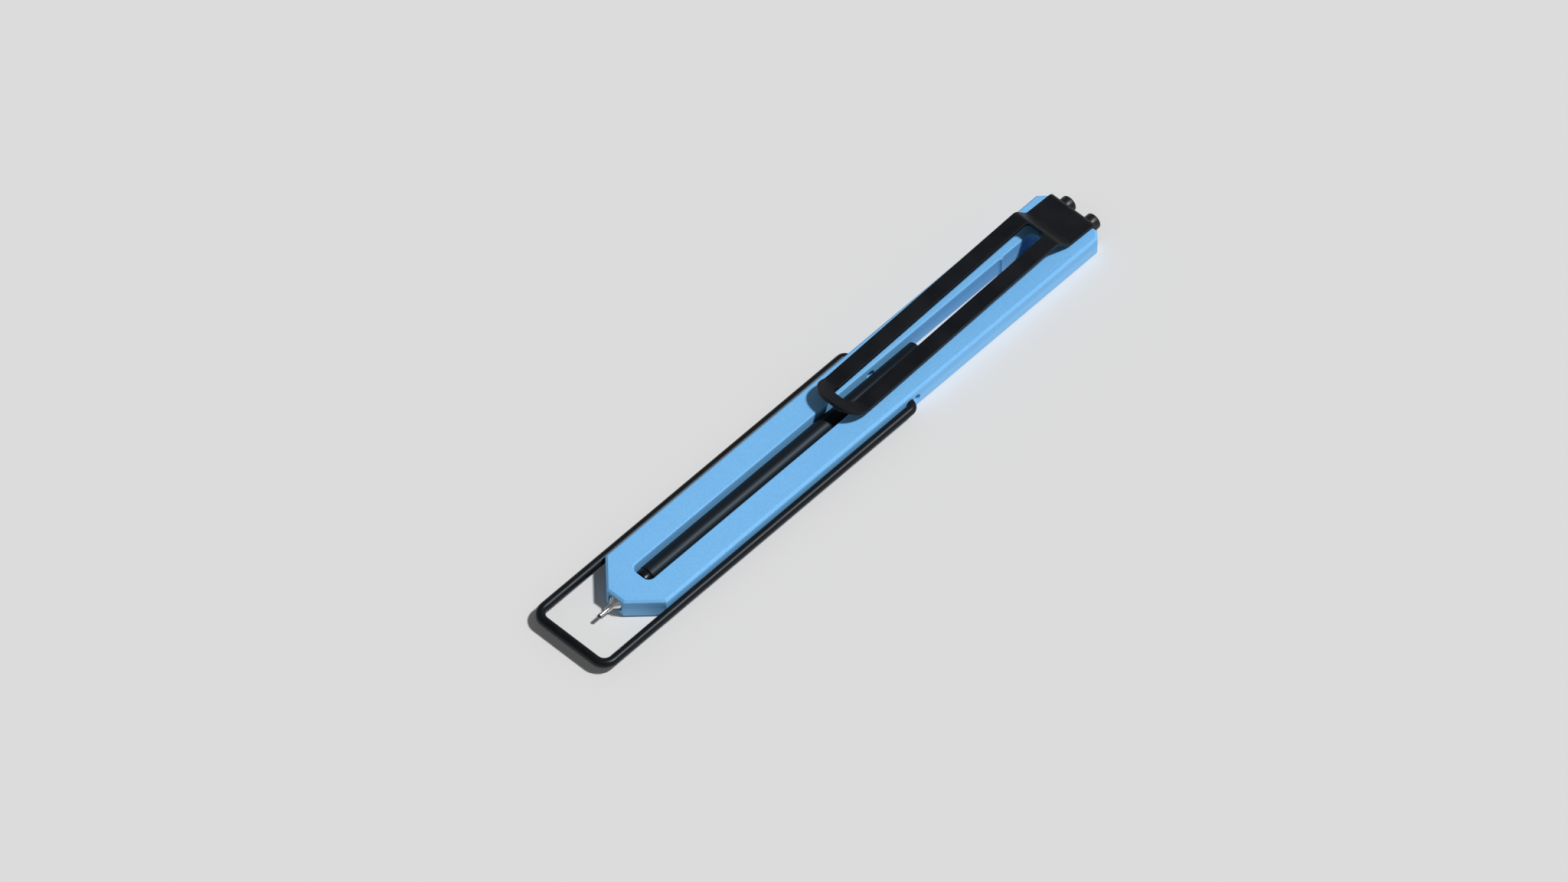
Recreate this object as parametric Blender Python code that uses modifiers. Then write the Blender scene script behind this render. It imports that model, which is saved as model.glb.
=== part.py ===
"""A flat pen: a slotted metal bar with a needle-tip refill, a wire bail round the tip and a pocket clip.

The pen lies on its back face. X runs from the writing end to the rear end, Y across the bar, Z up through it.
All lengths are in metres and are written from the nose face of the bar, on the plane the pen lies on.
The finished pen stands with the middle of its bounding box over the world origin.
"""
import math

import bmesh
import bpy
from mathutils import Matrix, Vector

# Bar: flat stock with cut corners, edges and a slot that is open above and below
BAR_WIDTH = 0.0200
BAR_THICKNESS = 0.0060
NOSE_CHAMFER = 0.0072
REAR_CHAMFER = 0.0019
EDGE_CHAMFER = 0.0006
NOSE_WALL = 0.00855
REAR_WALL = 0.0115
MAIN_SLOT_LENGTH = 0.1296
REAR_SLOT_LENGTH = 0.0115
SLOT_OVERLAP = 0.00115
SLOT_CORNER_RADIUS = 0.00175
SLOT_EDGE_CHAMFER = 0.0003
TAP_DRILL_RUNOUT = 0.0012

# Refill: a reservoir tube, a front plug, a metal cone with its needle, and the ball in the needle's end
REFILL_DIAMETER = 0.0050
REFILL_WALL = 0.0005
TUBE_LENGTH = 0.0934
FLANGE_LENGTH = 0.0019
FLANGE_STEP = 0.0003
SHANK_DIAMETER = 0.0042
SHANK_RECESS = 0.0005
PLUG_LENGTH = 0.0040
CONE_LENGTH = 0.0016
COLLAR_LENGTH = 0.0018
COLLAR_DIAMETER = 0.0015
COLLAR_TAPER = 0.0002
STEM_DIAMETER = 0.0020
STEM_LENGTH = 0.0040
NEEDLE_DIAMETER = 0.0009
NEEDLE_BORE = 0.0004
NEEDLE_REACH = 0.00245
NEEDLE_TAIL = 0.0030
NEEDLE_RIM = 0.00005
BALL_DIAMETER = 0.0007
BALL_PROUD = 0.0002
INK_LENGTH = 0.0560
FOLLOWER_LENGTH = 0.0040

# Clamp screw in the right rail
SET_SCREW_DIAMETER = 0.0020
SET_SCREW_LENGTH = 0.0040
SET_SCREW_PLACE = 0.0940
SET_SCREW_HEX = 0.0009
SET_SCREW_SOCKET = 0.0010

# Bail: one wire, hinged in the cross bore and bent round in front of the tip
WIRE_DIAMETER = 0.0025
PIVOT_PLACE = 0.0915
BAIL_LENGTH = 0.1068
BAIL_CORNER_RADIUS = 0.0030
ELBOW_RADIUS = 0.0015
WIRE_END_DEPTH = 0.0055

# Clip: one bent sheet, read along its outer face from the tab to the lip
SHEET_THICKNESS = 0.0009
CLIP_WIDTH = 0.01425
TAB_LIFT = 0.0011
TAB_CORNER_RADIUS = 0.0015
PLATE_LENGTH = 0.0098
PLATE_RISE = 0.0005
RAMP_RUN = 0.0040
RAMP_RISE = 0.0041
LEG_LENGTH = 0.0672
LEG_DROP = 0.0028
LIP_RUN = 0.0058
LIP_RISE = 0.0027
LIP_NOSE_DEPTH = 0.0057
LIP_NOSE_POWER = 2.5
FOLD_RADIUS = 0.0020
FOOT_RADIUS = 0.0020
CREST_RADIUS = 0.0025
HEEL_RADIUS = 0.0025
CLIP_SLOT_WIDTH = 0.0056
CLIP_SLOT_FRONT = 0.0022
CLIP_SLOT_REAR = 0.0002
CLIP_SLOT_CORNER = 0.0014

# Clip screws in the rear face
SCREW_DIAMETER = 0.0025
SCREW_LENGTH = 0.0080
SCREW_SPACING = 0.0080
HEAD_DIAMETER = 0.0043
HEAD_HEIGHT = 0.0025
HEAD_CHAMFER = 0.0003
HEX_ACROSS_FLATS = 0.0020
HEX_DEPTH = 0.0012

# Clearances
SEAT_GAP = 0.0001
THREAD_GAP = 0.0001
PIVOT_GAP = 0.0001
BAIL_SIDE_GAP = 0.0001
SLOT_GAP = 0.00042
NOSE_BORE_GAP = 0.0001
PLUG_GAP = 0.0001
NEEDLE_GAP = 0.00006
BALL_GAP = 0.00003
INK_GAP = 0.0002

# Facets in a full turn, by size of the round piece
WIDE_SIDES = 32
ROUND_SIDES = 24
SMALL_SIDES = 16
ARC_STEPS = 6
CUT_MARGIN = 0.0010

# Places that follow from the sizes above
MID_HEIGHT = BAR_THICKNESS / 2
SLOT_WIDTH = REFILL_DIAMETER + 2 * SLOT_GAP
NOSE_BORE = SHANK_DIAMETER + 2 * NOSE_BORE_GAP
REAR_SLOT_START = NOSE_WALL + MAIN_SLOT_LENGTH - SLOT_OVERLAP
BAR_LENGTH = REAR_SLOT_START + REAR_SLOT_LENGTH + REAR_WALL
FLANGE_RADIUS = (REFILL_DIAMETER - FLANGE_STEP) / 2
CORNER_CENTRE = SLOT_WIDTH / 2 - SLOT_CORNER_RADIUS
CORNER_DEPTH = SLOT_CORNER_RADIUS - math.sqrt(SLOT_CORNER_RADIUS**2 - (FLANGE_RADIUS - CORNER_CENTRE) ** 2)
FLANGE_START = NOSE_WALL + CORNER_DEPTH + SEAT_GAP
TUBE_START = FLANGE_START + FLANGE_LENGTH + SEAT_GAP
INK_START = FLANGE_START + FLANGE_LENGTH + PLUG_LENGTH + INK_GAP
CONE_BASE = SHANK_RECESS - SEAT_GAP
COLLAR_BASE = CONE_BASE - CONE_LENGTH
COLLAR_END = COLLAR_BASE - COLLAR_LENGTH
NEEDLE_END = COLLAR_END - NEEDLE_REACH
BALL_CENTRE = NEEDLE_END - BALL_PROUD + BALL_DIAMETER / 2
LEG_OFFSET = BAR_WIDTH / 2 + BAIL_SIDE_GAP + WIRE_DIAMETER / 2
CROSSBAR_PLACE = PIVOT_PLACE - BAIL_LENGTH
TAB_FACE = BAR_LENGTH + SEAT_GAP + SHEET_THICKNESS
PLATE_TOP = BAR_THICKNESS + SEAT_GAP + SHEET_THICKNESS
RAMP_FOOT = TAB_FACE - PLATE_LENGTH
RAMP_CREST = RAMP_FOOT - RAMP_RUN
LEG_END = RAMP_CREST - LEG_LENGTH
LIP_END = LEG_END - LIP_RUN
HEAD_SEAT = TAB_FACE + SEAT_GAP
FRONT_EXTENT = CROSSBAR_PLACE - WIRE_DIAMETER / 2
REAR_EXTENT = HEAD_SEAT + HEAD_HEIGHT
MIDDLE = (FRONT_EXTENT + REAR_EXTENT) / 2

for old in list(bpy.data.objects):
    bpy.data.objects.remove(old, do_unlink=True)

pen = bpy.data.collections.new("pen")
bpy.context.scene.collection.children.link(pen)
cutters = bpy.data.collections.new("cutters")
bpy.context.scene.collection.children.link(cutters)

# The nose face of the bar stands ahead of the world origin, so the whole pen is centred over it
nose_datum = bpy.data.objects.new("nose_datum", None)
nose_datum.location = (-MIDDLE, 0, 0)
pen.objects.link(nose_datum)


def linear(channel):
    """The linear value of one sRGB channel given from 0 to 255."""
    value = channel / 255
    if value <= 0.04045:
        return value / 12.92
    return ((value + 0.055) / 1.055) ** 2.4


def material(name, rgb, roughness, metallic):
    """A Principled material from an sRGB colour."""
    made = bpy.data.materials.new(name)
    made.use_nodes = True
    shader = made.node_tree.nodes["Principled BSDF"]
    colour = [linear(channel) for channel in rgb] + [1.0]
    shader.inputs["Base Color"].default_value = colour
    shader.inputs["Roughness"].default_value = roughness
    shader.inputs["Metallic"].default_value = metallic
    made.diffuse_color = colour
    return made


def finish(obj, made, parent=nose_datum):
    """Put a finished piece in the pen's collection with its material, hung from its parent."""
    for holder in list(obj.users_collection):
        holder.objects.unlink(obj)
    pen.objects.link(obj)
    obj.data.materials.clear()
    obj.data.materials.append(made)
    obj.parent = parent
    obj.data.shade_smooth()
    obj.data.set_sharp_from_angle(angle=math.radians(30))
    return obj


def as_cutter(obj):
    """Move a solid to the cutters' collection, hung from the nose datum and out of the render."""
    for holder in list(obj.users_collection):
        holder.objects.unlink(obj)
    cutters.objects.link(obj)
    obj.parent = nose_datum
    obj.hide_render = True
    obj.display_type = "WIRE"
    return obj


def cut(obj, cutter, operation="DIFFERENCE"):
    """Add a Boolean to a piece."""
    modifier = obj.modifiers.new(cutter.name, "BOOLEAN")
    modifier.operation = operation
    modifier.solver = "EXACT"
    modifier.object = cutter


def set_origin(obj, place):
    """Move a piece's origin to a point of its parent's space without moving the piece."""
    obj.data.transform(Matrix.Translation(-Vector(place)) @ obj.matrix_basis)
    obj.matrix_basis = Matrix.Translation(place)


def mesh_from_curve(name, curve, turn=None):
    """Turn a curve into a closed mesh object, welding the loose caps."""
    source = bpy.data.objects.new(name, curve)
    bpy.context.scene.collection.objects.link(source)
    graph = bpy.context.evaluated_depsgraph_get()
    mesh = bpy.data.meshes.new_from_object(source.evaluated_get(graph))
    bpy.data.objects.remove(source)
    mesh.name = name
    shape = bmesh.new()
    shape.from_mesh(mesh)
    bmesh.ops.remove_doubles(shape, verts=shape.verts, dist=0.000001)
    if turn is not None:
        bmesh.ops.transform(shape, matrix=turn, verts=shape.verts)
    shape.to_mesh(mesh)
    shape.free()
    obj = bpy.data.objects.new(name, mesh)
    bpy.context.scene.collection.objects.link(obj)
    return obj


def plate_curve(name, outline, half_height, flare=0.0):
    """A filled flat outline with a thickness, its wall pushed outwards by the flare."""
    curve = bpy.data.curves.new(name, "CURVE")
    curve.dimensions = "2D"
    curve.fill_mode = "BOTH"
    curve.extrude = half_height
    curve.bevel_depth = flare
    curve.bevel_resolution = 0
    spline = curve.splines.new("POLY")
    spline.points.add(len(outline) - 1)
    for point, (x, y) in zip(spline.points, outline):
        point.co = (x, y, 0, 1)
    spline.use_cyclic_u = True
    return curve


def prism(name, outline, bottom, top):
    """A solid with a flat outline in plan, from one height to another."""
    middle = Matrix.Translation((0, 0, (bottom + top) / 2))
    return mesh_from_curve(name, plate_curve(name, outline, (top - bottom) / 2), middle)


def flared_prism(name, outline, face, outwards, chamfer):
    """A cutter that stands on an outline just inside a face and widens by the chamfer at the face."""
    half = CUT_MARGIN
    height = face + outwards * half
    return mesh_from_curve(name, plate_curve(name, outline, half, chamfer), Matrix.Translation((0, 0, height)))


def arc(centre, radius, start, end, steps):
    """Points on an arc in a plane, angles in degrees."""
    points = []
    for step in range(steps + 1):
        angle = math.radians(start + (end - start) * step / steps)
        points.append((centre[0] + radius * math.cos(angle), centre[1] + radius * math.sin(angle)))
    return points


def rounded_rectangle(low_x, high_x, width, radius):
    """A rectangle centred across the pen, with four round corners."""
    half = width / 2 - radius
    points = []
    points += arc((high_x - radius, half), radius, 0, 90, ARC_STEPS)
    points += arc((low_x + radius, half), radius, 90, 180, ARC_STEPS)
    points += arc((low_x + radius, -half), radius, 180, 270, ARC_STEPS)
    points += arc((high_x - radius, -half), radius, 270, 360, ARC_STEPS)
    return points


def filleted(corners, steps):
    """An open path through (x, y, radius) corners, with each inner corner replaced by an arc."""
    path = [Vector(corners[0][:2])]
    for before, here, after in zip(corners, corners[1:], corners[2:]):
        corner = Vector(here[:2])
        back = (Vector(before[:2]) - corner).normalized()
        ahead = (Vector(after[:2]) - corner).normalized()
        half_angle = back.angle(ahead) / 2
        reach = here[2] / math.tan(half_angle)
        centre = corner + (back + ahead).normalized() * here[2] / math.sin(half_angle)
        first = corner + back * reach - centre
        sweep = first.angle_signed(corner + ahead * reach - centre)
        for step in range(steps + 1):
            turned = first.copy()
            turned.rotate(Matrix.Rotation(-sweep * step / steps, 2))
            path.append(centre + turned)
    path.append(Vector(corners[-1][:2]))
    return path


def turned(name, profile, sides, ring=False):
    """A turned piece about the X axis, from (x, radius) points that run from its rear end to its front.

    The profile is laid out with the axis as Z, swept by a Screw modifier and tipped over.
    A ring has a profile that closes on itself and never touches the axis.
    """
    mesh = bpy.data.meshes.new(name)
    points = [(radius, 0, x) for x, radius in profile]
    edges = [(i, i + 1) for i in range(len(points) - 1)]
    if ring:
        edges.append((len(points) - 1, 0))
    mesh.from_pydata(points, edges, [])
    obj = bpy.data.objects.new(name, mesh)
    bpy.context.scene.collection.objects.link(obj)
    screw = obj.modifiers.new("turn", "SCREW")
    screw.steps = sides
    screw.render_steps = sides
    screw.use_merge_vertices = True
    screw.merge_threshold = 0.000001
    obj.rotation_euler = (0, math.radians(90), 0)
    return obj


def rod(name, place, axis, diameter, length, sides):
    """A plain round cutter that starts at a point and runs along an axis."""
    shape = bmesh.new()
    bmesh.ops.create_cone(shape, cap_ends=True, segments=sides, radius1=diameter / 2, radius2=diameter / 2,
                          depth=length)
    bmesh.ops.translate(shape, verts=shape.verts, vec=(0, 0, length / 2))
    mesh = bpy.data.meshes.new(name)
    shape.to_mesh(mesh)
    shape.free()
    obj = bpy.data.objects.new(name, mesh)
    bpy.context.scene.collection.objects.link(obj)
    obj.location = place
    obj.rotation_mode = "QUATERNION"
    obj.rotation_quaternion = Vector((0, 0, 1)).rotation_difference(Vector(axis))
    return as_cutter(obj)


def body_bar():
    """The bar: a block with four cut corners and chamfers round both faces, then its slots and bores."""
    shape = bmesh.new()
    bmesh.ops.create_cube(shape, size=1.0)
    bmesh.ops.scale(shape, verts=shape.verts, vec=(BAR_LENGTH, BAR_WIDTH, BAR_THICKNESS))
    bmesh.ops.translate(shape, verts=shape.verts, vec=(BAR_LENGTH / 2, 0, MID_HEIGHT))
    middle = BAR_LENGTH / 2
    for chamfer, at_nose in ((NOSE_CHAMFER, True), (REAR_CHAMFER, False)):
        corners = []
        for edge in shape.edges:
            upright = abs(edge.verts[0].co.z - edge.verts[1].co.z) > MID_HEIGHT
            if upright and (edge.verts[0].co.x < middle) == at_nose:
                corners.append(edge)
        bmesh.ops.bevel(shape, geom=corners, offset=chamfer, segments=1, profile=0.5, affect="EDGES")
    weight = shape.edges.layers.float.new("bevel_weight_edge")
    for edge in shape.edges:
        first, second = (vert.co for vert in edge.verts)
        level = abs(first.z - second.z) < CUT_MARGIN
        if level:
            edge[weight] = 1.0
    mesh = bpy.data.meshes.new("body_bar")
    shape.to_mesh(mesh)
    shape.free()
    bar = bpy.data.objects.new("body_bar", mesh)
    bpy.context.scene.collection.objects.link(bar)
    edges = bar.modifiers.new("edge_chamfer", "BEVEL")
    edges.limit_method = "WEIGHT"
    edges.width = EDGE_CHAMFER
    edges.segments = 1

    slots = (
        ("main_slot", NOSE_WALL, NOSE_WALL + MAIN_SLOT_LENGTH),
        ("rear_slot", REAR_SLOT_START, REAR_SLOT_START + REAR_SLOT_LENGTH),
    )
    for name, start, end in slots:
        outline = rounded_rectangle(start, end, SLOT_WIDTH, SLOT_CORNER_RADIUS)
        cut(bar, as_cutter(prism(name, outline, -CUT_MARGIN, BAR_THICKNESS + CUT_MARGIN)))
        for side, face, outwards in (("top", BAR_THICKNESS, 1), ("bottom", 0.0, -1)):
            cut(bar, as_cutter(flared_prism(f"{name}_{side}", outline, face, outwards, SLOT_EDGE_CHAMFER)))

    bore_start = (-CUT_MARGIN, 0, MID_HEIGHT)
    cut(bar, rod("nose_bore", bore_start, (1, 0, 0), NOSE_BORE, NOSE_WALL + 2 * CUT_MARGIN, WIDE_SIDES))
    pivot_start = (PIVOT_PLACE, -BAR_WIDTH / 2 - CUT_MARGIN, MID_HEIGHT)
    cross_bore = WIRE_DIAMETER + 2 * PIVOT_GAP
    cut(bar, rod("cross_bore", pivot_start, (0, 1, 0), cross_bore, BAR_WIDTH + 2 * CUT_MARGIN, ROUND_SIDES))
    clamp_start = (SET_SCREW_PLACE, -BAR_WIDTH / 2 - CUT_MARGIN, MID_HEIGHT)
    clamp_bore = SET_SCREW_DIAMETER + 2 * THREAD_GAP
    cut(bar, rod("clamp_bore", clamp_start, (0, 1, 0), clamp_bore, BAR_WIDTH / 2 + CUT_MARGIN, ROUND_SIDES))
    screw_bore = SCREW_DIAMETER + 2 * THREAD_GAP
    depth = SCREW_LENGTH - SHEET_THICKNESS + TAP_DRILL_RUNOUT
    for side in (-1, 1):
        start = (BAR_LENGTH - depth, side * SCREW_SPACING / 2, MID_HEIGHT)
        bore = rod(f"screw_bore_{side}", start, (1, 0, 0), screw_bore, depth + CUT_MARGIN, ROUND_SIDES)
        cut(bar, bore)
    return finish(bar, material("blue_anodised", (116, 180, 231), 0.45, 0.6))


def clip_ribbon():
    """The clip's outer face: a bent path swept across the pen, with the tab's two free corners rounded."""
    slope = LIP_RISE / LIP_RUN
    corners = (
        (TAB_FACE, TAB_LIFT, 0),
        (TAB_FACE, PLATE_TOP, FOLD_RADIUS),
        (RAMP_FOOT, PLATE_TOP + PLATE_RISE, FOOT_RADIUS),
        (RAMP_CREST, PLATE_TOP + PLATE_RISE + RAMP_RISE, CREST_RADIUS),
        (LEG_END, PLATE_TOP + PLATE_RISE + RAMP_RISE - LEG_DROP, HEEL_RADIUS),
        (LIP_END - CUT_MARGIN, PLATE_TOP + PLATE_RISE + RAMP_RISE - LEG_DROP + LIP_RISE + CUT_MARGIN * slope, 0),
    )
    path = filleted(corners, ARC_STEPS)
    curve = bpy.data.curves.new("clip_path", "CURVE")
    curve.dimensions = "2D"
    curve.fill_mode = "NONE"
    curve.extrude = CLIP_WIDTH / 2
    spline = curve.splines.new("POLY")
    spline.points.add(len(path) - 1)
    for point, place in zip(spline.points, path):
        point.co = (place.x, place.y, 0, 1)
    ribbon = mesh_from_curve("pocket_clip", curve, Matrix.Rotation(math.radians(90), 4, "X"))
    shape = bmesh.new()
    shape.from_mesh(ribbon.data)
    free = [vert for vert in shape.verts if vert.co.z < TAB_LIFT + SEAT_GAP]
    bmesh.ops.bevel(shape, geom=free, offset=TAB_CORNER_RADIUS, segments=4, profile=0.5, affect="VERTICES")
    shape.to_mesh(ribbon.data)
    shape.free()
    return ribbon


def pocket_clip():
    """The clip: the bent ribbon given the sheet's thickness, its lip cut round and its slot cut through."""
    clip = clip_ribbon()
    sheet = clip.modifiers.new("sheet", "SOLIDIFY")
    sheet.thickness = SHEET_THICKNESS
    sheet.offset = 1.0
    sheet.use_even_offset = True

    half = CLIP_WIDTH / 2
    nose = []
    steps = 4 * ARC_STEPS
    for step in range(steps + 1):
        across = math.sin(math.radians(-90 + 180 * step / steps))
        depth = 1 - (1 - abs(across) ** LIP_NOSE_POWER) ** (1 / LIP_NOSE_POWER)
        nose.append((LIP_END + LIP_NOSE_DEPTH * depth, across * half))
    ahead = LIP_END - 3 * CUT_MARGIN
    behind = LIP_END + LIP_NOSE_DEPTH
    beside = half + CUT_MARGIN
    outline = [(ahead, -beside), (behind, -beside)] + nose + [(behind, beside), (ahead, beside)]
    top = PLATE_TOP + PLATE_RISE + RAMP_RISE + LIP_RISE + CUT_MARGIN
    cut(clip, as_cutter(prism("lip_nose", outline, BAR_THICKNESS, top)))

    slot = rounded_rectangle(LEG_END - CLIP_SLOT_FRONT, RAMP_CREST - CLIP_SLOT_REAR, CLIP_SLOT_WIDTH,
                             CLIP_SLOT_CORNER)
    cut(clip, as_cutter(prism("clip_slot", slot, BAR_THICKNESS, top)))
    hole = SCREW_DIAMETER + 2 * THREAD_GAP
    for side in (-1, 1):
        start = (BAR_LENGTH - CUT_MARGIN, side * SCREW_SPACING / 2, MID_HEIGHT)
        cut(clip, rod(f"tab_hole_{side}", start, (1, 0, 0), hole, SHEET_THICKNESS + 3 * CUT_MARGIN, ROUND_SIDES))
    finish(clip, material("black_spring_steel", (38, 39, 42), 0.5, 0.4))
    set_origin(clip, (BAR_LENGTH, 0, BAR_THICKNESS))
    return clip


def clip_screw(name, side, made):
    """A socket head cap screw, turned, with a hexagon sunk in its head."""
    tip = HEAD_SEAT - SCREW_LENGTH
    rear = HEAD_SEAT + HEAD_HEIGHT
    profile = [
        (rear, 0),
        (rear, HEAD_DIAMETER / 2 - HEAD_CHAMFER),
        (rear - HEAD_CHAMFER, HEAD_DIAMETER / 2),
        (HEAD_SEAT, HEAD_DIAMETER / 2),
        (HEAD_SEAT, SCREW_DIAMETER / 2),
        (tip + HEAD_CHAMFER, SCREW_DIAMETER / 2),
        (tip, SCREW_DIAMETER / 2 - HEAD_CHAMFER),
        (tip, 0),
    ]
    centre = (0, side * SCREW_SPACING / 2, MID_HEIGHT)
    screw = turned(name, profile, ROUND_SIDES)
    screw.location = centre
    corner = HEX_ACROSS_FLATS / math.cos(math.radians(30))
    mouth = (rear - HEX_DEPTH, centre[1], centre[2])
    cut(screw, rod(f"{name}_socket", mouth, (1, 0, 0), corner, HEX_DEPTH + CUT_MARGIN, 6))
    return finish(screw, made)


def clamp_screw(made):
    """The set screw in the right rail, which presses the refill against the slot's left wall."""
    point = -REFILL_DIAMETER / 2 - SEAT_GAP
    back = point - SET_SCREW_LENGTH
    half = SET_SCREW_DIAMETER / 2
    chamfer = SET_SCREW_DIAMETER / 8
    profile = [(0, 0), (0, half), (chamfer - SET_SCREW_LENGTH, half), (-SET_SCREW_LENGTH, half - chamfer)]
    profile.append((-SET_SCREW_LENGTH, 0))
    screw = turned("refill_set_screw", profile, SMALL_SIDES)
    screw.rotation_euler = (math.radians(90), 0, 0)
    screw.location = (SET_SCREW_PLACE, back, MID_HEIGHT)
    corner = SET_SCREW_HEX / math.cos(math.radians(30))
    mouth = (SET_SCREW_PLACE, back - CUT_MARGIN, MID_HEIGHT)
    cut(screw, rod("set_screw_socket", mouth, (0, 1, 0), corner, SET_SCREW_SOCKET + CUT_MARGIN, 6))
    return finish(screw, made)


def bail_wire():
    """The bail: wire ends in the cross bore, elbows, two long legs and a crossbar ahead of the tip."""
    end = BAR_WIDTH / 2 - WIRE_END_DEPTH
    corners = (
        (PIVOT_PLACE, -end, 0),
        (PIVOT_PLACE, -LEG_OFFSET, ELBOW_RADIUS),
        (CROSSBAR_PLACE, -LEG_OFFSET, BAIL_CORNER_RADIUS),
        (CROSSBAR_PLACE, LEG_OFFSET, BAIL_CORNER_RADIUS),
        (PIVOT_PLACE, LEG_OFFSET, ELBOW_RADIUS),
        (PIVOT_PLACE, end, 0),
    )
    path = filleted(corners, ARC_STEPS)
    curve = bpy.data.curves.new("bail_wire", "CURVE")
    curve.dimensions = "3D"
    curve.bevel_depth = WIRE_DIAMETER / 2
    curve.bevel_resolution = 4
    curve.use_fill_caps = True
    spline = curve.splines.new("POLY")
    spline.points.add(len(path) - 1)
    for point, place in zip(spline.points, path):
        point.co = (place.x, place.y, MID_HEIGHT, 1)
    bail = mesh_from_curve("bail_wire", curve)
    finish(bail, material("black_wire", (30, 31, 34), 0.3, 0.5))
    set_origin(bail, (PIVOT_PLACE, 0, MID_HEIGHT))
    return bail


def refill():
    """The refill's pieces, all turned about the bar's middle line and hung from one sliding datum."""
    slide = bpy.data.objects.new("refill_slide", None)
    slide.location = (0, 0, MID_HEIGHT)
    slide.parent = nose_datum
    pen.objects.link(slide)
    outer = REFILL_DIAMETER / 2
    inner = outer - REFILL_WALL
    tube_end = TUBE_START + TUBE_LENGTH
    tube = [(tube_end, inner), (tube_end, outer), (TUBE_START, outer), (TUBE_START, inner)]
    dark_plastic = material("black_plastic", (33, 36, 40), 0.35, 0.0)
    finish(turned("refill_tube", tube, WIDE_SIDES, ring=True), dark_plastic, slide)

    plug = inner - PLUG_GAP
    shank = SHANK_DIAMETER / 2
    socket = STEM_DIAMETER / 2 + PLUG_GAP
    channel = NEEDLE_DIAMETER / 2 + PLUG_GAP
    flange_end = FLANGE_START + FLANGE_LENGTH
    plug_end = flange_end + PLUG_LENGTH
    socket_end = SHANK_RECESS + STEM_LENGTH + SEAT_GAP
    holder = [
        (plug_end, channel),
        (plug_end, plug),
        (flange_end, plug),
        (flange_end, FLANGE_RADIUS),
        (FLANGE_START, FLANGE_RADIUS),
        (FLANGE_START, shank),
        (SHANK_RECESS, shank),
        (SHANK_RECESS, socket),
        (socket_end, socket),
        (socket_end, channel),
    ]
    gloss = material("black_gloss_plastic", (20, 21, 24), 0.15, 0.0)
    finish(turned("tip_holder", holder, WIDE_SIDES, ring=True), gloss, slide)

    stem_end = CONE_BASE + STEM_LENGTH
    bore = NEEDLE_DIAMETER / 2 + NEEDLE_GAP
    collar = COLLAR_DIAMETER / 2
    cone = [
        (stem_end, bore),
        (stem_end, STEM_DIAMETER / 2),
        (CONE_BASE, STEM_DIAMETER / 2),
        (CONE_BASE, shank),
        (COLLAR_BASE, collar),
        (COLLAR_END, collar - COLLAR_TAPER / 2),
        (COLLAR_END, bore),
    ]
    bright = material("bright_metal", (205, 207, 210), 0.12, 1.0)
    finish(turned("tip_cone", cone, ROUND_SIDES, ring=True), bright, slide)

    pipe = NEEDLE_DIAMETER / 2
    throat = NEEDLE_BORE / 2
    ball_radius = BALL_DIAMETER / 2
    cup = ball_radius + BALL_GAP
    cup_floor = BALL_CENTRE + cup
    mouth = math.sqrt(ball_radius**2 - (BALL_CENTRE - NEEDLE_END) ** 2) + BALL_GAP
    needle = [
        (COLLAR_END + NEEDLE_TAIL, throat),
        (COLLAR_END + NEEDLE_TAIL, pipe),
        (BALL_CENTRE, pipe),
        (NEEDLE_END, mouth + NEEDLE_RIM),
        (NEEDLE_END, mouth),
        (BALL_CENTRE, cup),
        (cup_floor, cup),
        (cup_floor, throat),
    ]
    steel = material("needle_steel", (190, 192, 196), 0.18, 1.0)
    finish(turned("needle", needle, SMALL_SIDES, ring=True), steel, slide)

    shape = bmesh.new()
    bmesh.ops.create_uvsphere(shape, u_segments=12, v_segments=8, radius=ball_radius)
    mesh = bpy.data.meshes.new("writing_ball")
    shape.to_mesh(mesh)
    shape.free()
    ball = bpy.data.objects.new("writing_ball", mesh)
    bpy.context.scene.collection.objects.link(ball)
    ball.location = (BALL_CENTRE, 0, 0)
    finish(ball, material("dark_carbide", (28, 28, 30), 0.3, 0.6), slide)

    filled = inner - INK_GAP
    follower_start = INK_START + INK_LENGTH + INK_GAP
    follower_end = follower_start + FOLLOWER_LENGTH
    ink = [(INK_START + INK_LENGTH, 0), (INK_START + INK_LENGTH, filled), (INK_START, filled), (INK_START, 0)]
    finish(turned("ink_column", ink, ROUND_SIDES), material("black_ink", (12, 12, 16), 0.2, 0.0), slide)
    grease = [(follower_end, 0), (follower_end, filled), (follower_start, filled), (follower_start, 0)]
    clear = material("follower_grease", (196, 190, 160), 0.3, 0.0)
    finish(turned("ink_follower", grease, ROUND_SIDES), clear, slide)


body_bar()
pocket_clip()
black_screws = material("black_oxide", (30, 30, 32), 0.45, 0.6)
clip_screw("clip_screw_left", 1, black_screws)
clip_screw("clip_screw_right", -1, black_screws)
clamp_screw(black_screws)
bail_wire()
refill()
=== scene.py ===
"""The fine form and finish of a flat slotted pen, lit and seen as in its photograph.

Lengths are in metres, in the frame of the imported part: X from the writing end to the rear end,
Y across the pen, Z up from the plane it lies on.
"""

import math

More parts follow.
